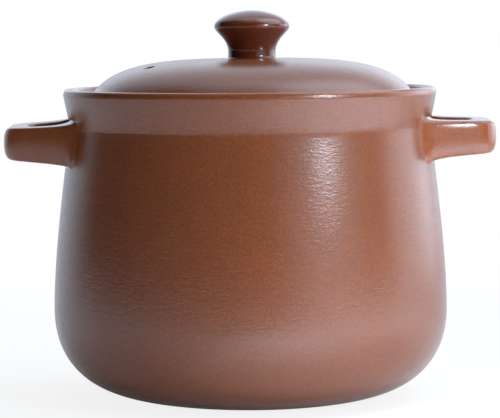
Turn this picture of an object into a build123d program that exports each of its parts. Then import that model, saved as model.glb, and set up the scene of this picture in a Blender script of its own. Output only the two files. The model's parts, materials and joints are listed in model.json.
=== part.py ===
from build123d import *
import os
from math import cos, radians, sin, sqrt, tan

# A lidded clay casserole: a round pot with two loop handles, and a domed lid with a knob.
# Millimetres, +Z up, the origin at the middle of the foot, the front towards -Y.

# Outside of the pot, as radii and heights
body_height = 170.0
rim_radius = 103.3
lip_flare = 1.8
neck_drop = 25.0
belly_radius = 109.1
belly_height = 48.0
foot_radius = 55.0

# Thickness of the clay
wall = 7.0
floor = 8.5
rim_wall = 5.6
rim_round = 2.4
widest_round_share = 0.45

# The foot is a ring round a shallow recess
foot_ring_width = 9.0
foot_recess = 2.0

# How full the outline is: how far each curve's end pulls along its run
belly_round_share = 0.645
belly_lift_share = 0.38
neck_lift_share = 0.13

# The gallery inside the rim, whose ledge carries the lid
gallery_depth = 8.0
ledge_width = 6.3
ledge_lip = 4.0
gallery_round = 1.5
ledge_round = 1.0

# Lid: a dome with a flat flange round it, hollow below
lid_play = 1.7
lid_rise = 16.2
lid_wall = 6.5
flange_thickness = 4.5
flange_width = 13.5
flange_shelf = 7.0
flange_round = 1.6
dome_reach_share = 0.56
dome_foot_angle = 58.0
dome_foot_length = 20.0

# Steam vent through the lid, in front of the left handle
vent_radius = 2.2
vent_place_radius = 64.0
vent_angle = 210.0

# Knob: a cap on a waisted neck
knob_height = 26.5
knob_radius = 20.8
knob_widest_height = 17.7
knob_neck_radius = 13.2
knob_neck_height = 3.6
knob_foot_height = 1.2
knob_foot_flare = 0.9
knob_seat_margin = 1.0
cap_crown_share = 0.48
cap_edge_share = 0.55
under_cap_share = 0.30
above_neck_share = 0.55

# Handles: each a flat loop of two legs and a bar, luted to the neck
handle_reach = 33.1
handle_width = 68.0
handle_taper = 18.0
handle_corner = 18.0
handle_top_drop = 18.6
handle_height = 19.5
handle_slope = 3.7
leg_width = 14.0
bar_width = 15.0
finger_corner = 5.0
outer_round = 5.0
finger_round = 4.0

# The legs widen towards the wall and run a little way into it before they are trimmed
root_depth = 4.0
flare_length = 22.0
flare_rise = 6.0
flare_fall = 4.5
side_flare_length = 12.0
side_flare = 5.0

# How far a cutting solid runs past what it cuts
overrun = 20.0

# An edge of a handle that climbs more steeply than this is a corner, not part of its run
steepest_run = 0.7

# Places that follow from the sizes
neck_radius = rim_radius - lip_flare
neck_height = body_height - neck_drop
gallery_radius = rim_radius - rim_wall
mouth_radius = gallery_radius - ledge_width
ledge_height = body_height - gallery_depth
flange_radius = gallery_radius - lid_play
flange_top = ledge_height + flange_thickness
dome_foot_radius = flange_radius - flange_shelf
hollow_radius = flange_radius - flange_width
plateau_height = body_height + lid_rise
knob_foot_radius = knob_neck_radius + knob_foot_flare
knob_seat_radius = knob_foot_radius + knob_seat_margin


def between(start, end, share):
    return start + (end - start) * share


def wall_curve(foot_r, foot_z, belly_r, neck_r):
    """Foot to belly to neck: two curves that meet upright at the widest place."""
    corner = Bezier(
        (foot_r, foot_z),
        (between(foot_r, belly_r, belly_round_share), foot_z),
        (belly_r, between(belly_height, foot_z, belly_round_share)),
        (belly_r, belly_height),
    )
    side = Bezier(
        (belly_r, belly_height),
        (belly_r, between(belly_height, neck_height, belly_lift_share)),
        (neck_r, between(neck_height, belly_height, neck_lift_share)),
        (neck_r, neck_height),
    )
    return corner, side


def outer_lines():
    """The pot's outside, from the middle of the foot to the rim."""
    foot = Line((0, 0), (foot_radius, 0))
    corner, side = wall_curve(foot_radius, 0, belly_radius, neck_radius)
    lip = TangentArc((neck_radius, neck_height), (rim_radius, body_height), tangent=(0, 1))
    return foot, corner, side, lip


def revolved(*lines):
    """Solid turned about Z from an outline of radius and height."""
    return revolve(make_face(Plane.XZ * Curve(lines)), Axis.Z)


def ring_edges(solid, radius, height):
    """Circular edges of one radius at one height."""
    near = radius / 1000
    edges = solid.edges().filter_by(GeomType.CIRCLE)
    return [e for e in edges if abs(e.radius - radius) < near and abs(e.center().Z - height) < near]


def make_envelope():
    """The pot filled up to its rim, which the handles are trimmed with."""
    return revolved(*outer_lines(), Polyline((rim_radius, body_height), (0, body_height), (0, 0)))


def make_pot_body():
    inner_foot = foot_radius - wall
    inner_neck = neck_radius - wall
    corner, side = wall_curve(inner_foot, floor, belly_radius - wall, inner_neck)
    gallery = Polyline(
        (inner_neck, neck_height),
        (mouth_radius, ledge_height - ledge_lip),
        (mouth_radius, ledge_height),
        (gallery_radius, ledge_height),
        (gallery_radius, body_height),
        (rim_radius, body_height),
    )
    middle = Polyline((0, 0), (0, floor), (inner_foot, floor))
    body = revolved(*outer_lines(), gallery, side, corner, middle)
    body = fillet(ring_edges(body, gallery_radius, ledge_height), gallery_round)
    body = fillet(ring_edges(body, mouth_radius, ledge_height), ledge_round)
    rim_edges = ring_edges(body, gallery_radius, body_height) + ring_edges(body, rim_radius, body_height)
    body = fillet(rim_edges, min(rim_round, rim_wall * widest_round_share))
    recess_radius = foot_radius - foot_ring_width
    return body - Cylinder(recess_radius, foot_recess, align=(Align.CENTER, Align.CENTER, Align.MIN))


def make_lid():
    lean = radians(dome_foot_angle)
    pull = (-dome_foot_length * cos(lean), dome_foot_length * sin(lean))
    ceiling = plateau_height - lid_wall
    plateau = Polyline((0, ceiling), (0, plateau_height), (knob_seat_radius, plateau_height))
    dome = Bezier(
        (knob_seat_radius, plateau_height),
        (between(knob_seat_radius, dome_foot_radius, dome_reach_share), plateau_height),
        (dome_foot_radius + pull[0], flange_top + pull[1]),
        (dome_foot_radius, flange_top),
    )
    flange = Polyline(
        (dome_foot_radius, flange_top),
        (flange_radius, flange_top),
        (flange_radius, ledge_height),
        (hollow_radius, ledge_height),
    )
    hollow = Bezier(
        (hollow_radius, ledge_height),
        (hollow_radius + pull[0], ledge_height + pull[1]),
        (hollow_radius * dome_reach_share, ceiling),
        (0, ceiling),
    )
    lid = revolved(plateau, dome, flange, hollow)
    lid = fillet(ring_edges(lid, flange_radius, flange_top), flange_round)
    lid = fillet(ring_edges(lid, flange_radius, ledge_height), flange_round)
    turn = radians(vent_angle)
    vent = Cylinder(vent_radius, plateau_height - ledge_height + overrun)
    return lid - Pos(vent_place_radius * cos(turn), vent_place_radius * sin(turn), plateau_height) * vent


def make_knob():
    crown = Bezier(
        (0, knob_height),
        (knob_radius * cap_crown_share, knob_height),
        (knob_radius, between(knob_widest_height, knob_height, cap_edge_share)),
        (knob_radius, knob_widest_height),
    )
    throat = Bezier(
        (knob_radius, knob_widest_height),
        (knob_radius, between(knob_widest_height, knob_neck_height, under_cap_share)),
        (knob_neck_radius, between(knob_neck_height, knob_widest_height, above_neck_share)),
        (knob_neck_radius, knob_neck_height),
    )
    neck = Line((knob_neck_radius, knob_neck_height), (knob_neck_radius, knob_foot_height))
    foot = Bezier((knob_neck_radius, knob_foot_height), (knob_neck_radius, 0), (knob_foot_radius, 0))
    seat = Polyline((knob_foot_radius, 0), (0, 0), (0, knob_height))
    return Pos(0, 0, plateau_height) * revolved(crown, throat, neck, foot, seat)


def make_handle(envelope):
    """The right handle: its plan and its side outline crossed, then trimmed to the wall."""
    tip = rim_radius + handle_reach
    root = sqrt(neck_radius**2 - (handle_width / 2) ** 2) - root_depth
    lean = radians(handle_taper)

    def half_width(x):
        return handle_width / 2 - (x - root - root_depth) * tan(lean)

    def plan(end, inset, flare, corner):
        """Outline that narrows from the wall to its end and flares at the wall."""
        start = root + side_flare_length
        mouth = half_width(root) - inset + flare
        side = half_width(start) - inset
        across = half_width(end) - inset
        lines = (
            TangentArc((start, side), (root, mouth), tangent=(-cos(lean), sin(lean))),
            Polyline((start, side), (end, across), (end, -across), (start, -side)),
            TangentArc((start, -side), (root, -mouth), tangent=(-cos(lean), -sin(lean))),
            Line((root, mouth), (root, -mouth)),
        )
        face = make_face(Curve(lines))
        return fillet(face.vertices().group_by(Axis.X)[-1], corner)

    top = body_height - handle_top_drop
    fall = tan(radians(handle_slope))
    flare_x = root + flare_length
    bottom_tip = top - handle_height
    bottom_flare = bottom_tip - (tip - flare_x) * fall
    side_lines = (
        Polyline((flare_x, bottom_flare), (tip, bottom_tip), (tip, top), (flare_x, top)),
        TangentArc((flare_x, top), (root, top + flare_rise), tangent=(-1, 0)),
        Line((root, top + flare_rise), (root, bottom_flare - flare_fall)),
        TangentArc((flare_x, bottom_flare), (root, bottom_flare - flare_fall), tangent=(-1, -fall)),
    )

    def rounded(solid, edges, radius):
        """Rounds the edges that run round the loop and leaves the corners and the wall's end."""
        run = [e for e in edges if abs((e % 0.5).Z) < steepest_run and e.center().X > root + root_depth / 2]
        return fillet(run, radius)

    side = extrude(make_face(Plane.XZ * Curve(side_lines)), handle_width, both=True)
    loop = side & extrude(plan(tip, 0, side_flare, handle_corner), body_height + overrun)
    loop = rounded(loop, loop.edges(), outer_round)
    leg = leg_width / cos(lean)
    finger_hole = extrude(plan(tip - bar_width, leg, -side_flare, finger_corner), body_height + overrun)
    holed = loop - finger_hole
    holed = rounded(holed, new_edges(loop, finger_hole, combined=holed), finger_round)
    return holed - envelope


os.makedirs("parts", exist_ok=True)
handle_right = make_handle(make_envelope())
nodes = {
    "pot_body": make_pot_body(),
    "handle_left": mirror(handle_right, Plane.YZ),
    "handle_right": handle_right,
    "lid": make_lid(),
    "knob": make_knob(),
}
for name, solid in nodes.items():
    export_step(solid, f"parts/{name}.step")
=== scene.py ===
import bpy
import json
from math import atan, atan2, cos, pi, radians, sin, sqrt, tan
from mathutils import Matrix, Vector

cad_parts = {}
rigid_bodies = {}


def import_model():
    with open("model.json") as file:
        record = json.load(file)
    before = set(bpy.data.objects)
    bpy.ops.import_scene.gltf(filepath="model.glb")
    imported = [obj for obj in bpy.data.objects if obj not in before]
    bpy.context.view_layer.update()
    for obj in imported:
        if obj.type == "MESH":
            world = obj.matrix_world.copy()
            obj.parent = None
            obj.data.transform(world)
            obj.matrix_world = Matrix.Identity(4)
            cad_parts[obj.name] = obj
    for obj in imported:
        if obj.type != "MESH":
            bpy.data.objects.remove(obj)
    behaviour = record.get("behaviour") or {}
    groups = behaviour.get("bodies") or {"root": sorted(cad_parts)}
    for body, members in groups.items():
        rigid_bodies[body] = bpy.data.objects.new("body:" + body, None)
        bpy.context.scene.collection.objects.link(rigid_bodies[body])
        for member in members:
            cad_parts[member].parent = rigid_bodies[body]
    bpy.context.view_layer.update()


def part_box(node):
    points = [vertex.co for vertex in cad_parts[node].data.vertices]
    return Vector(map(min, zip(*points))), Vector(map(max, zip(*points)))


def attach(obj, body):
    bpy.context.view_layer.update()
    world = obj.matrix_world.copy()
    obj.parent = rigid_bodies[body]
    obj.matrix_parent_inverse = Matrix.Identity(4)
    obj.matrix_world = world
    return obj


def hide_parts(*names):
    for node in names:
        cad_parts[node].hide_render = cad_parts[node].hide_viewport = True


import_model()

# A lidded clay casserole in reddish-brown glaze. Metres, the front towards -Y.
MM = 0.001

# Sizes read from the frame
_, pot_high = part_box("pot_body")
_, handle_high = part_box("handle_right")
lid_low, lid_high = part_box("lid")
knob_low, knob_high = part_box("knob")
rim_height = pot_high.z
belly_radius = pot_high.x
ledge_height = lid_low.z
flange_radius = lid_high.x
plateau_height = lid_high.z
knob_radius = knob_high.x

# Sizes of the thrown shapes. The neck is a little narrower and higher than the CAD's, as in the photograph
neck_radius = 99.8 * MM
neck_height = rim_height - 21.5 * MM
rim_radius = 103.0 * MM
rim_wall = 5.6 * MM
rim_round = 2.4 * MM
rim_edge_height = 3.2 * MM
rim_side_pull = 2.3 * MM
rim_side_lean = 0.2 * MM
rim_top_pull = 0.6 * MM
belly_height = 48 * MM
foot_radius = 55 * MM
foot_ring_width = 9 * MM
foot_recess = 2 * MM
wall = 7 * MM
floor_thickness = 8.5 * MM
ledge_width = 6.3 * MM
ledge_lip = 4 * MM
ledge_round = 1 * MM
small_round = 1.5 * MM
flange_thickness = 4.5 * MM
flange_width = 13.5 * MM
flange_shelf = 7 * MM
dome_foot_round = 2 * MM
lid_wall = 6.5 * MM
knob_widest_height = 17.7 * MM
knob_neck_radius = 13.2 * MM
knob_neck_height = 3.6 * MM
knob_foot_flare = 1.6 * MM
vent_radius = 2.7 * MM
vent_flare = 0.6 * MM
vent_place_radius = 64 * MM
vent_inner_reach = 2 * MM
vent_angle = radians(210)
vent_lean = radians(20)

# Places that follow from the sizes
gallery_radius = rim_radius - rim_wall
mouth_radius = gallery_radius - ledge_width
recess_radius = foot_radius - foot_ring_width
dome_radius = flange_radius - flange_shelf
hollow_radius = flange_radius - flange_width

# How full the pot's side is: how far each curve's end pulls along its run
belly_round_share = 0.628
belly_lift_share = 0.36
neck_lift_share = 0.065

# How the lip leaves the neck: its two pulls, as shares of its flare and of its rise
lip_start_shares = (0.05, 0.25)
lip_end_shares = (0.68, 0.64)

# The lid's dome: how far its crown stays flat, and how steeply and how far it rises from the flange
dome_reach_share = 0.56
dome_foot_angle = radians(57)
dome_foot_length = 18.5 * MM

# The knob's cap: how flat its crown is, how full its edge is above and below, and how its neck starts
cap_crown_share = 0.40
cap_edge_share = 0.61
under_cap_share = 0.27
above_neck_share = 0.55

# Thrown by hand: the mouth leans a little, in radians, with all that sits on it, and the lid lies to one side
mouth_lean = 0.005
lid_aside = 1.5 * MM

# Sizes of the handles: each a loop of two legs and a bar, smoothed onto the wall
handle_tip = handle_high.x - 0.5 * MM
handle_top = rim_height - 18.6 * MM
handle_slope = tan(radians(3.7))
handle_half_width = 34 * MM
handle_root = sqrt(neck_radius**2 - handle_half_width**2)
root_depth = 4 * MM
handle_taper = radians(18)
leg_width = 14 * MM
bar_width = 15 * MM
loop_corner = 10.8 * MM
corner_steps = 6
flare_reach = 22 * MM
side_flare = 4 * MM
side_flare_reach = 12 * MM

# What differs by hand between the two: how far the top is lifted and how it droops, how far down the
# underside is at the end, the rise and the fall at the wall, and the twist that lowers the front leg
right_handle = {
    "lift": 1.4 * MM,
    "droop": 0.01,
    "depth": 16.9 * MM,
    "rise": 2.0 * MM,
    "fall": 4.5 * MM,
    "twist": radians(0.7),
}
left_handle = {
    "lift": 0.1 * MM,
    "droop": tan(radians(3.3)),
    "depth": 19.6 * MM,
    "rise": 3.2 * MM,
    "fall": 2.5 * MM,
    "twist": radians(1.5),
}

# How square a section is, across and up: the leg is flat on top with crowned sides, the bar is round
leg_squareness = (12, 2.1)
bar_squareness = (3.4, 2.7)
section_steps = 32

# Sections along a leg, as shares of its length, and at its root, as distances short of the wall. Each has the
# share of the wall's slant that it has turned by, and its share of the leg's squareness
leg_sections = ((0.30, 0.0, 1.0), (0.56, 0.45, 1.0))
root_sections = ((4.6 * MM, 1.0, 0.7), (1.6 * MM, 1.0, 0.4), (0.6 * MM, 1.0, 0.1), (-0.2 * MM, 1.0, 0.0))

# The rings of slip that smooth a handle onto the wall: how far each spreads, and its height above the wall
slip_rings = ((0.2 * MM, 1.6 * MM), (0.7 * MM, 0.5 * MM), (1.5 * MM, -0.3 * MM))

# The glaze's mottle, as wide as the clouds that a thick dip leaves, and the noise levels that it runs between
mottle_size = 20 * MM
mottle_detail = 3
mottle_low, mottle_high = 0.25, 0.75

# Iron specks. Real ones are 0.2 to 0.5 mm, which a pixel of 0.55 mm would lose, so they are drawn coarser
speck_size = 0.9 * MM
speck_detail = 2
speck_low, speck_high = 0.30, 0.70
speck_change = 0.19

# Orange peel, which is about 0.5 mm on a real glaze and is drawn coarser to show at all
peel_size = 0.85 * MM
fine_detail = 1

# Ripples that the thrower's fingers leave, and how many times as long as wide they are
ripple_size = 1.7 * MM
ripple_length = 4

# Where the glaze runs thin: over the rim's edge and just above the foot, along a wandering line
edge_wander_size = 9 * MM
edge_wander = 0.8 * MM
foot_thin_height = 4 * MM
rim_thin_drop = 1.2 * MM
rim_thin_width = 1.0 * MM
thin_share = 0.25

# Glass of the glaze: its index, how much glossier it is on the rim, and how its roughness wanders
glaze_ior = 1.55
rim_gloss = 0.15
rough_wander = 0.02

# Bare clay: its colours, its mottle and specks between noise levels, its grit and its roughness
clay_pale = "#B98A66"
clay_deep = "#A8754F"
clay_iron = "#6B4A36"
clay_mottle_low, clay_mottle_high = 0.35, 0.65
clay_speck_low, clay_speck_high = 0.60, 0.72
grit_detail = 4
grit_depth = 0.15 * MM
clay_roughness = 0.9

# The studio: a pale floor in a white room that is lit from the right and from behind
floor_radius = 1.6
floor_steps = 96
floor_colour = "#E8E8E8"
floor_white_share = 0.86
glossy_white_share = 0.12
floor_fade_from = 0.28
floor_fade_to = 0.6
light_colour = "#DEEEFF"
room_level = 0.03

# The lit parts of the room's walls: azimuth from the camera's side towards +X and elevation of the middle,
# the angles at which each starts to fade and is gone, all in degrees, then how flat it is and how bright
lit_walls = {
    "back_left": (-150, 4, 8, 42, 1.5, 1.1),
    "back_right": (150, 8, 8, 34, 1.5, 1.7),
    "behind_high": (176, 48, 22, 50, 1.0, 1.3),
    "side_low": (116, 5, 12, 30, 1.6, 2.9),
    "side_high": (95, 50, 15, 38, 1.0, 3.4),
    "side_front": (75, 5, 10, 24, 1.6, 0.3),
    "front_right": (44, 14, 10, 32, 1.0, 1.3),
    "ceiling": (0, 90, 10, 30, 1.0, 1.0),
}

# The lamps: one softbox on the pot, and two that light the floor beside it and in front of it. Azimuth and
# spread are in degrees
lamps = {
    "softbox": {
        "azimuth": 45.5, "distance": 0.90, "height": 0.405, "size": 0.20,
        "radiance": 39, "aim": (0, 0, 0.1), "spread": 180,
    },
    "table_light": {
        "azimuth": 62, "distance": 0.72, "height": 0.50, "size": 0.90,
        "radiance": 4.1, "aim": (0.64, -0.34, 0), "spread": 64,
    },
    "front_table_light": {
        "azimuth": 20, "distance": 0.27, "height": 0.20, "size": 0.24,
        "radiance": 3.5, "aim": (0.09, -0.25, 0), "spread": 70,
    },
}

# The photograph's camera: its frame, focal length and the row of the foot in pixels, and its roll in radians
photo_width, photo_height = 500, 418
lens_pixels = 2250
foot_row = 391.3
pixel_size = 0.5545 * MM
camera_height = 0.2045
camera_offset = -0.15 * MM
camera_roll = 0.004

# The width of a film frame, which Blender takes in millimetres
sensor_width = 36

# Steps round a thrown piece and along its curves
turn_steps = 192
knob_steps = 96
vent_steps = 48
curve_steps = 26
round_steps = 5
handle_smoothing = 2

# Edges sharper than this stay sharp, and vertices nearer than these are one
smooth_angle = radians(40)
weld = MM / 100
mirror_weld = MM / 10
sliver = MM / 20

# When a face lies at a height, when it is clear of a place, when it hardly faces outwards and when it faces
# mostly down
at_height = MM / 2
clear_of = 1 * MM
hardly_outward = 0.1
mostly_down = -0.5

# The materials of a thrown piece after its satin glaze
clay_index = 1
gloss_index = 2


def linear(colour):
    """An sRGB hex colour as linear RGBA."""
    channels = [int(colour[i:i + 2], 16) / 255 for i in (1, 3, 5)]
    return [c / 12.92 if c <= 0.04045 else ((c + 0.055) / 1.055) ** 2.4 for c in channels] + [1.0]


def between(start, end, share):
    return start + (end - start) * share


def bent(start, pull_start, pull_end, end, steps=curve_steps):
    """Points along a curve that leaves its start and meets its end in the directions of the pulls."""
    points = []
    for i in range(steps + 1):
        t = i / steps
        weights = ((1 - t) ** 3, 3 * (1 - t) ** 2 * t, 3 * (1 - t) * t**2, t**3)
        corners = (start, pull_start, pull_end, end)
        points.append(tuple(sum(w * corner[axis] for w, corner in zip(weights, corners)) for axis in (0, 1)))
    return points


def rounded(before, corner, after, radius):
    """Points of an arc that rounds a corner of an outline."""
    before, corner, after = Vector(before), Vector(corner), Vector(after)
    back, ahead = (before - corner).normalized(), (after - corner).normalized()
    half = back.angle(ahead) / 2
    cut = radius / tan(half)
    centre = corner + (back + ahead).normalized() * radius / sin(half)
    first, last = corner + back * cut - centre, corner + ahead * cut - centre
    arc = []
    for i in range(round_steps + 1):
        share = i / round_steps
        arc.append(tuple(centre + first.lerp(last, share).normalized() * radius))
    return arc


def wall_curve(foot_r, foot_z, belly_r, neck_r):
    """The pot's side, from the foot up to the neck."""
    corner = bent(
        (foot_r, foot_z),
        (between(foot_r, belly_r, belly_round_share), foot_z),
        (belly_r, between(belly_height, foot_z, belly_round_share)),
        (belly_r, belly_height),
    )
    side = bent(
        (belly_r, belly_height),
        (belly_r, between(belly_height, neck_height, belly_lift_share)),
        (neck_r, between(neck_height, belly_height, neck_lift_share)),
        (neck_r, neck_height),
    )
    return corner + side[1:]


def select_only(*objects):
    bpy.ops.object.select_all(action="DESELECT")
    for o in objects:
        o.select_set(True)
    bpy.context.view_layer.objects.active = objects[0]


def new_piece(name):
    """A small plane as the start of a piece, in edit mode with its vertices selected."""
    bpy.ops.object.select_all(action="DESELECT")
    bpy.ops.mesh.primitive_plane_add(size=MM)
    piece = bpy.context.active_object
    piece.name = piece.data.name = name
    bpy.ops.object.mode_set(mode="EDIT")
    bpy.ops.mesh.select_mode(type="VERT")
    return piece


def modify(piece, name, kind, **settings):
    """Gives the active piece a modifier and applies it."""
    modifier = piece.modifiers.new(name, kind)
    for key, value in settings.items():
        setattr(modifier, key, value)
    bpy.ops.object.modifier_apply(modifier=name)


def turned(name, outline, steps=turn_steps):
    """A piece thrown on the wheel: a vertex is drawn along the outline and spun about Z."""
    piece = new_piece(name)
    bpy.ops.mesh.merge(type="CENTER")
    bpy.ops.transform.translate(value=(outline[0][0], 0, outline[0][1]))
    spot = outline[0]
    for r, z in outline[1:]:
        step = (r - spot[0], 0, z - spot[1])
        bpy.ops.mesh.extrude_region_move(TRANSFORM_OT_translate={"value": step})
        spot = (r, z)
    bpy.ops.mesh.select_all(action="SELECT")
    bpy.ops.mesh.spin(steps=steps, angle=2 * pi, center=(0, 0, 0), axis=(0, 0, 1))
    bpy.ops.mesh.select_all(action="SELECT")
    bpy.ops.mesh.remove_doubles(threshold=weld)
    bpy.ops.mesh.normals_make_consistent(inside=False)
    bpy.ops.object.mode_set(mode="OBJECT")
    bpy.ops.object.shade_smooth_by_angle(angle=smooth_angle)
    return piece


def pot_outline():
    """The pot's section, from the middle of the recess under the foot round to the floor inside."""
    outside = wall_curve(foot_radius, 0, belly_radius, neck_radius)
    lip_top = rim_height - rim_edge_height
    pulls = [
        (between(neck_radius, rim_radius, out), between(neck_height, lip_top, up))
        for out, up in (lip_start_shares, lip_end_shares)
    ]
    lip = bent((neck_radius, neck_height), *pulls, (rim_radius, lip_top))[1:-1]
    rim_in = (gallery_radius, rim_height)
    rim_side = bent(
        (rim_radius, lip_top),
        (rim_radius - rim_side_lean, lip_top + rim_side_pull),
        (rim_radius - rim_top_pull, rim_height),
        (rim_radius - rim_round, rim_height),
        2 * round_steps,
    )
    corner, edge = (gallery_radius, ledge_height), (mouth_radius, ledge_height)
    under = (mouth_radius, ledge_height - ledge_lip)
    foot = [(0, foot_recess), (recess_radius, foot_recess), (recess_radius, 0)]
    inside = wall_curve(foot_radius - wall, floor_thickness, belly_radius - wall, neck_radius - wall)
    return (
        foot + outside + lip + rim_side
        + rounded(rim_side[-1], rim_in, corner, rim_round)
        + rounded(rim_in, corner, edge, small_round)
        + rounded(corner, edge, under, ledge_round)
        + [under] + inside[::-1] + [(0, floor_thickness)]
    )


def lid_outline():
    """The lid's section, from the top of the plateau over the flange to the hollow's crown."""
    pull = (-dome_foot_length * cos(dome_foot_angle), dome_foot_length * sin(dome_foot_angle))
    top = ledge_height + flange_thickness
    seat_radius = knob_neck_radius + knob_foot_flare
    ceiling = plateau_height - lid_wall
    dome = bent(
        (seat_radius, plateau_height),
        (between(seat_radius, dome_radius, dome_reach_share), plateau_height),
        (dome_radius + pull[0], top + pull[1]),
        (dome_radius, top),
    )
    flange_top, flange_foot = (flange_radius, top), (flange_radius, ledge_height)
    hollow = bent(
        (hollow_radius, ledge_height),
        (hollow_radius + pull[0], ledge_height + pull[1]),
        (hollow_radius * dome_reach_share, ceiling),
        (0, ceiling),
    )
    return (
        [(0, plateau_height)] + dome[:-1]
        + rounded(dome[-2], dome[-1], flange_top, dome_foot_round)
        + rounded(dome[-1], flange_top, flange_foot, small_round)
        + rounded(flange_top, flange_foot, hollow[0], small_round)
        + hollow
    )


def knob_outline():
    """The knob's section, from its foot on the lid up to the crown of its cap."""
    top = knob_high.z - knob_low.z
    foot = bent(
        (knob_neck_radius + knob_foot_flare, 0),
        (knob_neck_radius + knob_foot_flare / 3, 0),
        (knob_neck_radius, knob_foot_flare / 3),
        (knob_neck_radius, knob_foot_flare),
        round_steps,
    )
    throat = bent(
        (knob_neck_radius, knob_neck_height),
        (knob_neck_radius, between(knob_neck_height, knob_widest_height, above_neck_share)),
        (knob_radius, between(knob_widest_height, knob_neck_height, under_cap_share)),
        (knob_radius, knob_widest_height),
    )
    crown = bent(
        (knob_radius, knob_widest_height),
        (knob_radius, between(knob_widest_height, top, cap_edge_share)),
        (knob_radius * cap_crown_share, top),
        (0, top),
    )
    section = [(0, 0)] + foot + throat + crown[1:]
    return [(r, knob_low.z + z) for r, z in section]


def handle_loop():
    """The right handle's front half in plan: places along the bar, its corner and the leg, up to the wall."""
    bar_x = handle_tip - bar_width / 2
    along = Vector((-cos(handle_taper), -sin(handle_taper)))
    across = Vector((-sin(handle_taper), cos(handle_taper)))
    leg_start = Vector((handle_root, -handle_half_width)) + leg_width / 2 * across
    turn = pi / 2 - handle_taper
    setback = loop_corner * tan(turn / 2)
    corner_y = leg_start.y + (bar_x - leg_start.x) * tan(handle_taper)

    # Each station: place in plan, how far the section has turned, its width, and its share of the leg's shape
    stations = [(Vector((bar_x, 0)), 0, bar_width, 0)]
    arc_centre = Vector((bar_x - loop_corner, corner_y + setback))
    for i in range(corner_steps + 1):
        share = i / corner_steps
        angle = turn * share
        spot = arc_centre + loop_corner * Vector((cos(angle), -sin(angle)))
        stations.append((spot, angle, between(bar_width, leg_width, share), share))

    # Where the leg's middle line meets the wall, and how far the wall is turned from it there
    leg_end = stations[-1][0]
    reach = -leg_end.dot(along) - sqrt(leg_end.dot(along) ** 2 - leg_end.length_squared + neck_radius**2)
    meet = leg_end + along * reach
    slant = handle_taper + atan2(-meet.y, meet.x)
    widen = leg_width / cos(slant)
    places = [(between(0, reach, part), share, square) for part, share, square in leg_sections]
    places += [(reach - short, share, square) for short, share, square in root_sections]
    for way, share, square in places:
        angle = turn + slant * share
        out = side_flare * max(0, 1 - (reach - way) / side_flare_reach) ** 2
        spot = leg_end + along * way + out / 2 * Vector((cos(angle), -sin(angle)))
        stations.append((spot, angle, between(leg_width, widen, share) + out, square))
    return stations


def section(width, height, squareness):
    """Points round a handle's section: a squared-off oval, as places across and up."""
    across_power, up_power = squareness
    points = []
    for i in range(section_steps):
        angle = 2 * pi * i / section_steps
        across = abs(cos(angle)) ** (2 / across_power) * (1 if cos(angle) > 0 else -1)
        up = abs(sin(angle)) ** (2 / up_power) * (1 if sin(angle) > 0 else -1)
        points.append((across * width / 2, up * height / 2))
    return points


def draw_ring(ring):
    """Draws a closed ring of edges in the piece that is being edited, and selects it."""
    bpy.ops.mesh.primitive_plane_add(size=MM, location=ring[0])
    bpy.ops.mesh.merge(type="CENTER")
    for start, end in zip(ring, ring[1:] + ring[:1]):
        bpy.ops.mesh.extrude_region_move(TRANSFORM_OT_translate={"value": end - start})
    bpy.ops.mesh.select_linked()
    bpy.ops.mesh.remove_doubles(threshold=weld)


def press_onto_wall(piece, wall_piece, slip_from):
    """Lays the last rings on the wall as slip, the outermost a little under its surface."""
    for number, (_, above) in enumerate(slip_rings, slip_from):
        slip = f"slip_{number}"
        modify(
            piece, slip, "SHRINKWRAP", target=wall_piece, vertex_group=slip,
            wrap_method="NEAREST_SURFACEPOINT", wrap_mode="ABOVE_SURFACE", offset=above,
        )


def close_ends(piece):
    """Fills the open ends of a handle, which lie in the pot's wall."""
    bpy.ops.object.mode_set(mode="EDIT")
    bpy.ops.mesh.select_all(action="DESELECT")
    bpy.ops.mesh.select_mode(type="EDGE")
    bpy.ops.mesh.select_non_manifold()
    bpy.ops.mesh.fill()
    bpy.ops.mesh.select_all(action="SELECT")
    bpy.ops.mesh.normals_make_consistent(inside=False)
    bpy.ops.object.mode_set(mode="OBJECT")


def handle(name, wall_piece, lift, droop, depth, rise, fall, twist):
    """A right handle: rings along half the loop, bridged, pressed onto the wall, mirrored and smoothed."""
    stations = handle_loop()
    slip_from = len(stations) - len(slip_rings)
    flare_x = handle_root - root_depth + flare_reach
    piece = new_piece(name)
    bpy.ops.mesh.delete(type="VERT")
    for number, (spot, angle, width, leg_share) in enumerate(stations):
        flare = max(0, (flare_x - spot.x) / flare_reach) ** 2
        top = handle_top + lift - (spot.x - handle_root) * droop + rise * flare
        bottom = handle_top - depth - (handle_tip - spot.x) * handle_slope - fall * flare
        spread = slip_rings[number - slip_from][0] if number >= slip_from else 0
        squareness = [between(bar, leg, leg_share) for bar, leg in zip(bar_squareness, leg_squareness)]
        draw_ring([
            Vector((spot.x + across * cos(angle), spot.y - across * sin(angle), (top + bottom) / 2 + up))
            for across, up in section(width + 2 * spread, top - bottom + 2 * spread, squareness)
        ])
        if number >= slip_from:
            bpy.ops.object.vertex_group_assign_new()
            piece.vertex_groups[-1].name = f"slip_{number}"
    bpy.ops.mesh.select_all(action="SELECT")
    bpy.ops.mesh.bridge_edge_loops()
    bpy.ops.object.mode_set(mode="OBJECT")
    press_onto_wall(piece, wall_piece, slip_from)
    modify(piece, "other_half", "MIRROR", use_axis=(False, True, False), merge_threshold=mirror_weld)
    modify(piece, "smooth", "SUBSURF", levels=handle_smoothing, render_levels=handle_smoothing)
    close_ends(piece)
    bpy.ops.object.mode_set(mode="EDIT")
    bpy.ops.mesh.select_all(action="SELECT")
    bpy.ops.transform.rotate(value=-twist, orient_axis="X", center_override=(0, 0, handle_top - depth / 2))
    bpy.ops.object.mode_set(mode="OBJECT")
    bpy.ops.object.shade_smooth()
    return piece


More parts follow.
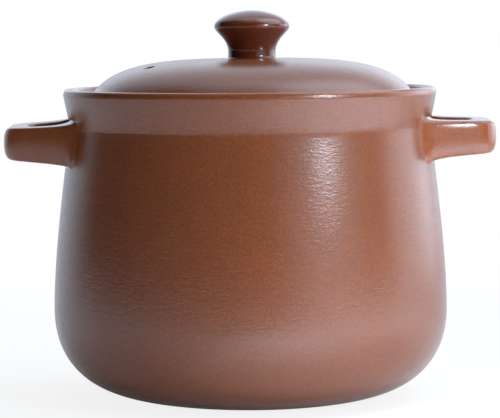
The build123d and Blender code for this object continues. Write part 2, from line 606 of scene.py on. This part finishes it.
def lean_mouth(pot):
    """Leans the pot's lip and gallery a little out of level, as a thrown mouth dries."""
    select_only(pot)
    bpy.ops.object.mode_set(mode="EDIT")
    bpy.ops.mesh.select_mode(type="VERT")
    bpy.ops.mesh.select_all(action="DESELECT")
    bpy.ops.object.mode_set(mode="OBJECT")
    for vertex in pot.data.vertices:
        vertex.select = vertex.co.z > neck_height
    bpy.ops.object.mode_set(mode="EDIT")
    bpy.ops.transform.rotate(value=mouth_lean, orient_axis="Y", center_override=(0, 0, neck_height))
    bpy.ops.object.mode_set(mode="OBJECT")


def seat_lid(lid, knob):
    """Lays the lid and its knob on the leaning ledge, against one side of the seat."""
    select_only(lid, knob)
    bpy.ops.transform.rotate(value=mouth_lean, orient_axis="Y", center_override=(0, 0, neck_height))
    bpy.ops.transform.translate(value=(lid_aside, 0, 0))
    bpy.ops.object.transform_apply(location=True, rotation=True, scale=False)


def to_left(piece):
    """Turns a right handle into a left one."""
    select_only(piece)
    piece.scale.x = -1
    bpy.ops.object.transform_apply(location=False, rotation=False, scale=True)
    bpy.ops.object.mode_set(mode="EDIT")
    bpy.ops.mesh.select_all(action="SELECT")
    bpy.ops.mesh.normals_make_consistent(inside=False)
    bpy.ops.object.mode_set(mode="OBJECT")


def pierce_vent(lid):
    """The steam vent: a round hole that leans outwards and opens at its upper edge, cut through the lid."""
    reach = plateau_height - ledge_height
    lip_height = vent_height()
    flare = bent(
        (vent_radius, lip_height - 3 * vent_flare),
        (vent_radius, lip_height - vent_flare),
        (vent_radius + vent_flare / 3, lip_height),
        (vent_radius + 2 * vent_flare, lip_height + vent_flare),
        round_steps,
    )
    outline = [(0, ledge_height), (vent_radius, ledge_height)] + flare
    outline += [(flare[-1][0], plateau_height + reach), (0, plateau_height + reach)]
    drill = turned("vent_drill", outline, vent_steps)
    aside = vent_place_radius - lip_height * sin(vent_lean)
    sink = lip_height * (1 - cos(vent_lean))
    drill.location = (aside * cos(vent_angle), aside * sin(vent_angle), sink)
    drill.rotation_euler = (0, vent_lean, vent_angle)
    select_only(lid)
    modify(lid, "vent", "BOOLEAN", operation="DIFFERENCE", object=drill, solver="EXACT")

    # The cut leaves a few slivers where it runs along a facet
    bpy.ops.object.mode_set(mode="EDIT")
    bpy.ops.mesh.select_all(action="SELECT")
    bpy.ops.mesh.remove_doubles(threshold=sliver)
    bpy.ops.mesh.dissolve_degenerate(threshold=sliver)
    bpy.ops.object.mode_set(mode="OBJECT")
    bpy.data.objects.remove(drill)
    bpy.ops.object.shade_smooth_by_angle(angle=smooth_angle)


def vent_height():
    """How high the lid's dome is at the vent, from the outline's first point past the vent's inner side."""
    inner_side = vent_place_radius - vent_inner_reach
    return max(z for r, z in lid_outline() if r > inner_side)


def add(tree, kind, inputs=(), **settings):
    """Adds a shader node and gives its first output. An input is a value or the output that feeds it."""
    node = tree.nodes.new("ShaderNode" + kind)
    for key, value in settings.items():
        setattr(node, key, value)
    for key, value in dict(inputs).items():
        if isinstance(value, bpy.types.NodeSocket):
            tree.links.new(value, node.inputs[key])
        else:
            node.inputs[key].default_value = value
    return next((output for output in node.outputs if output.enabled), None)


def new_material(name):
    """An empty node material and the piece's own coordinates."""
    material = bpy.data.materials.new(name)
    material.use_nodes = True
    tree = material.node_tree
    tree.nodes.clear()
    return material, tree, add(tree, "TexCoord").node.outputs["Object"]


def along_rings(tree, place):
    """Coordinates for marks left by the wheel: the way round the pot, and the way along its section."""
    flat = add(tree, "VectorMath", {0: place, 1: (1, 1, 0)}, operation="MULTIPLY")
    out = add(tree, "VectorMath", {0: flat}, operation="LENGTH").node.outputs["Value"]
    round_pot = add(tree, "VectorMath", {0: flat}, operation="NORMALIZE")
    round_size = belly_radius / ripple_length
    round_pot = add(tree, "VectorMath", {0: round_pot, "Scale": round_size}, operation="SCALE")
    up = add(tree, "SeparateXYZ", {0: place}).node.outputs["Z"]
    section_way = add(tree, "CombineXYZ", {"Z": add(tree, "Math", {0: up, 1: out}, operation="SUBTRACT")})
    return add(tree, "VectorMath", {0: round_pot, 1: section_way}, operation="ADD")


def thin_places(tree, place):
    """Where the glaze runs thin, along a wandering line: just above the foot, and over the rim's edge."""
    wander = add(tree, "TexNoise", {"Vector": place, "Scale": 1 / edge_wander_size})
    wander = add(tree, "Math", {0: wander, 1: edge_wander}, operation="MULTIPLY")
    up = add(tree, "SeparateXYZ", {0: place}).node.outputs["Z"]
    up = add(tree, "Math", {0: up, 1: wander}, operation="SUBTRACT")
    at_foot = add(tree, "MapRange", {0: up, "From Min": foot_thin_height, "From Max": 0})
    from_rim = add(tree, "Math", {0: up, 1: rim_height - rim_thin_drop}, operation="SUBTRACT")
    from_rim = add(tree, "Math", {0: from_rim}, operation="ABSOLUTE")
    at_rim = add(tree, "MapRange", {0: from_rim, "From Min": rim_thin_width, "From Max": rim_thin_width / 2})
    return at_foot, at_rim


def fired_surface(tree, place, ripple_depth, peel_depth):
    """The fine relief of the glaze: ripples round the pot, with orange peel over them."""
    rings = along_rings(tree, place)
    ripple = add(tree, "TexNoise", {"Vector": rings, "Scale": 1 / ripple_size, "Detail": fine_detail})
    rippled = add(tree, "Bump", {"Height": ripple, "Strength": 1, "Distance": ripple_depth})
    peel = add(tree, "TexNoise", {"Vector": place, "Scale": 1 / peel_size, "Detail": fine_detail})
    return add(tree, "Bump", {"Height": peel, "Strength": 1, "Distance": peel_depth, "Normal": rippled})


def brown_glaze(name, colour, deep, thin, rough, ripple_depth, peel_depth):
    """An iron-brown glaze, dipped and fired: its mottle, iron specks, throwing ripples and orange peel."""
    material, tree, place = new_material(name)
    mottle = add(tree, "TexNoise", {"Vector": place, "Scale": 1 / mottle_size, "Detail": mottle_detail})
    toned = add(tree, "MapRange", {0: mottle, "From Min": mottle_low, "From Max": mottle_high})
    colour = add(tree, "Mix", {0: toned, 6: linear(deep), 7: linear(colour)}, data_type="RGBA")

    # Iron specks, no larger than sand
    speck = add(tree, "TexNoise", {"Vector": place, "Scale": 1 / speck_size, "Detail": speck_detail})
    speck = add(tree, "MapRange", {
        0: speck, "From Min": speck_low, "From Max": speck_high,
        "To Min": 1 - speck_change, "To Max": 1 + speck_change,
    })
    colour = add(tree, "Mix", {0: 1, 6: colour, 7: speck}, data_type="RGBA", blend_type="MULTIPLY")

    # Where it runs thin it shows burnt orange
    at_foot, at_rim = thin_places(tree, place)
    thinned = add(tree, "Math", {0: at_foot, 1: at_rim}, operation="MAXIMUM")
    thinned = add(tree, "Math", {0: thinned, 1: thin_share}, operation="MULTIPLY")
    colour = add(tree, "Mix", {0: thinned, 6: colour, 7: linear(thin)}, data_type="RGBA")

    # Its roughness follows the mottle, and the rim's edge is glossier
    roughness = add(tree, "MapRange", {
        0: mottle, "To Min": rough - rough_wander, "To Max": rough + rough_wander,
    })
    shine = add(tree, "Math", {0: at_rim, 1: rim_gloss}, operation="MULTIPLY")
    roughness = add(tree, "Math", {0: roughness, 1: shine}, operation="SUBTRACT")
    relief = fired_surface(tree, place, ripple_depth, peel_depth)
    glaze = {"Base Color": colour, "Roughness": roughness, "IOR": glaze_ior, "Normal": relief}
    add(tree, "OutputMaterial", {"Surface": add(tree, "BsdfPrincipled", glaze)})
    return material


def bare_clay():
    """Fired clay with no glaze, on the foot and where the lid seats: matt pinkish buff with iron specks."""
    material, tree, place = new_material("fired_clay_biscuit")
    mottle = add(tree, "TexNoise", {"Vector": place, "Scale": 1 / mottle_size, "Detail": mottle_detail})
    toned = add(tree, "MapRange", {0: mottle, "From Min": clay_mottle_low, "From Max": clay_mottle_high})
    colour = add(tree, "Mix", {0: toned, 6: linear(clay_deep), 7: linear(clay_pale)}, data_type="RGBA")
    speck = add(tree, "TexNoise", {"Vector": place, "Scale": 1 / speck_size, "Detail": speck_detail})
    speck = add(tree, "MapRange", {0: speck, "From Min": clay_speck_low, "From Max": clay_speck_high})
    colour = add(tree, "Mix", {0: speck, 6: colour, 7: linear(clay_iron)}, data_type="RGBA")
    grit = add(tree, "TexNoise", {"Vector": place, "Scale": 1 / peel_size, "Detail": grit_detail})
    gritty = add(tree, "Bump", {"Height": grit, "Strength": 1, "Distance": grit_depth})
    clay = {"Base Color": colour, "Roughness": clay_roughness, "IOR": glaze_ior, "Normal": gritty}
    add(tree, "OutputMaterial", {"Surface": add(tree, "BsdfPrincipled", clay)})
    return material


def seen_directly(tree):
    """1 for a ray from the camera, and a part of it for a glossy ray, which see the floor white."""
    paths = add(tree, "LightPath").node.outputs
    glossy = add(tree, "Math", {0: paths["Is Glossy Ray"], 1: glossy_white_share}, operation="MULTIPLY")
    return add(tree, "Math", {0: paths["Is Camera Ray"], 1: glossy}, operation="MAXIMUM")


def pale_floor():
    """A pale seamless floor that reads white, keeps the pot's shadow and fades into the backdrop."""
    material, tree, place = new_material("pale_studio_floor")
    lit = add(tree, "BsdfDiffuse", {"Color": linear(floor_colour)})
    white = add(tree, "Emission", {"Color": (1, 1, 1, 1), "Strength": 1})
    away = add(tree, "VectorMath", {0: place}, operation="LENGTH").node.outputs["Value"]
    share = add(tree, "MapRange", {
        0: away, "From Min": floor_fade_from, "From Max": floor_fade_to,
        "To Min": floor_white_share, "To Max": 1,
    })
    share = add(tree, "Math", {0: seen_directly(tree), 1: share}, operation="MULTIPLY")
    add(tree, "OutputMaterial", {"Surface": add(tree, "MixShader", {0: share, 1: lit, 2: white})})
    bpy.ops.object.select_all(action="DESELECT")
    bpy.ops.mesh.primitive_circle_add(vertices=floor_steps, radius=floor_radius, fill_type="NGON")
    floor = bpy.context.active_object
    floor.name = floor.data.name = "studio_floor"
    floor.data.materials.append(material)


def studio_world():
    """A room whose walls are lit in soft patches; the camera sees white all round."""
    world = bpy.data.worlds.new("studio")
    bpy.context.scene.world = world
    world.use_nodes = True
    tree = world.node_tree
    tree.nodes.clear()
    direction = add(tree, "TexCoord")
    level = room_level
    for name, (azimuth, elevation, full, gone, flatness, brightness) in lit_walls.items():
        turn, rise = radians(azimuth), radians(elevation)
        middle = Vector((cos(rise) * sin(turn), -cos(rise) * cos(turn), sin(rise) * flatness)).normalized()
        flat = add(tree, "VectorMath", {0: direction, 1: (1, 1, flatness)}, operation="MULTIPLY")
        flat = add(tree, "VectorMath", {0: flat}, operation="NORMALIZE")
        near = add(tree, "VectorMath", {0: flat, 1: middle}, operation="DOT_PRODUCT").node.outputs["Value"]
        edges = {0: near, "From Min": cos(radians(gone)), "From Max": cos(radians(full))}
        patch = add(tree, "MapRange", edges, interpolation_type="SMOOTHSTEP")
        patch = add(tree, "Math", {0: patch, 1: brightness}, operation="MULTIPLY", label=name)
        level = add(tree, "Math", {0: level, 1: patch}, operation="ADD")
    seen = add(tree, "LightPath").node.outputs["Is Camera Ray"]
    level = add(tree, "Mix", {0: seen, "A": level, "B": 1.0})
    colour = add(tree, "Mix", {0: seen, 6: linear(light_colour), 7: (1, 1, 1, 1)}, data_type="RGBA")
    add(tree, "OutputWorld", {"Surface": add(tree, "Background", {"Color": colour, "Strength": level})})


def lamp(name, azimuth, distance, height, size, radiance, aim, spread):
    """A round soft lamp; azimuth is measured from the camera's side towards +X."""
    data = bpy.data.lights.new(name, "AREA")
    data.shape = "DISK"
    data.size = size

    # A disc's power is its radiance times pi and its area
    data.energy = radiance * pi * pi * size**2 / 4
    data.spread = radians(spread)
    data.color = linear(light_colour)[:3]
    panel = bpy.data.objects.new(name, data)
    bpy.context.scene.collection.objects.link(panel)
    turn = radians(azimuth)
    panel.location = (distance * sin(turn), -distance * cos(turn), height)
    panel.rotation_euler = (Vector(aim) - panel.location).to_track_quat("-Z", "Y").to_euler()
    panel.visible_camera = False


def camera_at_photo():
    """The photograph's camera: level with the lid's knob, about 1.25 m in front, looking down a little."""
    data = bpy.data.cameras.new("photo_camera")
    data.sensor_width = sensor_width
    data.lens = sensor_width * lens_pixels / photo_width
    camera = bpy.data.objects.new("photo_camera", data)
    bpy.context.scene.collection.objects.link(camera)
    distance = lens_pixels * pixel_size
    below_middle = (foot_row - photo_height / 2) / lens_pixels
    pitch = atan2(camera_height, distance) - atan(below_middle)
    camera.location = (camera_offset, -distance, camera_height)
    camera.rotation_euler = (pi / 2 - pitch, 0, 0)
    camera.rotation_euler.rotate_axis("Z", -camera_roll)
    bpy.context.scene.camera = camera


def glaze_where(piece, index, holds):
    """Gives another of the piece's materials to the faces whose radius, height and normal pass a test."""
    for face in piece.data.polygons:
        out = face.center.to_2d().length
        outward = face.normal.to_2d().dot(face.center.to_2d()) / max(out, MM)
        if holds(out, face.center.z, outward, face.normal.z):
            face.material_index = index


def inside_pot(out, up, outward, rise):
    """The pot's inside, from its floor up to under the ledge."""
    return floor_thickness / 2 < up < ledge_height - clear_of and outward < hardly_outward


def under_foot(out, up, outward, rise):
    """The foot ring and its recess."""
    return out < foot_radius and up < foot_recess + at_height


def on_ledge(out, up, outward, rise):
    """The ledge that the lid sits on."""
    return out < gallery_radius - clear_of and abs(up - ledge_height) < at_height


def inside_lid(out, up, outward, rise):
    """The lid's hollow."""
    return out < hollow_radius and rise < 0


def under_flange(out, up, outward, rise):
    """The ring under the lid that sits on the ledge."""
    return out > hollow_radius and up < ledge_height + at_height and rise < mostly_down


def dress(piece, node, slot, body, *materials):
    """Gives a piece its materials, hides its CAD node and attaches the piece to the body that it rides on.
    The slot is not used.
    """
    for material in materials:
        piece.data.materials.append(material)
    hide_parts(node)
    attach(piece, body)


# Iron-brown glaze with a satin surface, from a slow cooling: soft wide highlights on the wall and the lid
satin = brown_glaze(
    "satin_iron_brown_glaze", colour="#7A4024", deep="#763E22", thin="#A8562A",
    rough=0.24, ripple_depth=0.08 * MM, peel_depth=0.08 * MM,
)

# The same glaze where it lies thicker and is glossier: brighter, narrower highlights along the handles
gloss = brown_glaze(
    "gloss_iron_brown_glaze", colour="#864626", deep="#844424", thin="#A8562A",
    rough=0.16, ripple_depth=0.04 * MM, peel_depth=0.04 * MM,
)

# A double dip on the knob: deep brown glass with small, sharp highlights
dark_gloss = brown_glaze(
    "dark_iron_brown_glaze", colour="#6E321A", deep="#642C16", thin="#8A4420",
    rough=0.05, ripple_depth=0.02 * MM, peel_depth=0.02 * MM,
)

# Biscuit clay wiped clean of glaze: matt and pale, so that the seat and the foot read as bare
clay = bare_clay()

pot = turned("pot_body_glazed", pot_outline())
glaze_where(pot, gloss_index, inside_pot)
glaze_where(pot, clay_index, under_foot)
glaze_where(pot, clay_index, on_ledge)
lean_mouth(pot)
handle_right = handle("handle_right_glazed", pot, **right_handle)
handle_left = handle("handle_left_glazed", pot, **left_handle)
to_left(handle_left)
lid = turned("lid_glazed", lid_outline())
pierce_vent(lid)
glaze_where(lid, gloss_index, inside_lid)
glaze_where(lid, clay_index, under_flange)
knob = turned("knob_glazed", knob_outline(), knob_steps)
seat_lid(lid, knob)
dress(pot, "pot_body", "satin_brown_glaze", "pot", satin, clay, gloss)
dress(handle_right, "handle_right", "gloss_brown_glaze", "pot", gloss)
dress(handle_left, "handle_left", "gloss_brown_glaze", "pot", gloss)
dress(lid, "lid", "satin_brown_glaze", "lid", satin, clay, gloss)
dress(knob, "knob", "gloss_brown_glaze", "lid", dark_gloss)

bpy.context.scene.view_settings.view_transform = "Standard"
pale_floor()
studio_world()
for lamp_name, lamp_settings in lamps.items():
    lamp(lamp_name, **lamp_settings)
camera_at_photo()
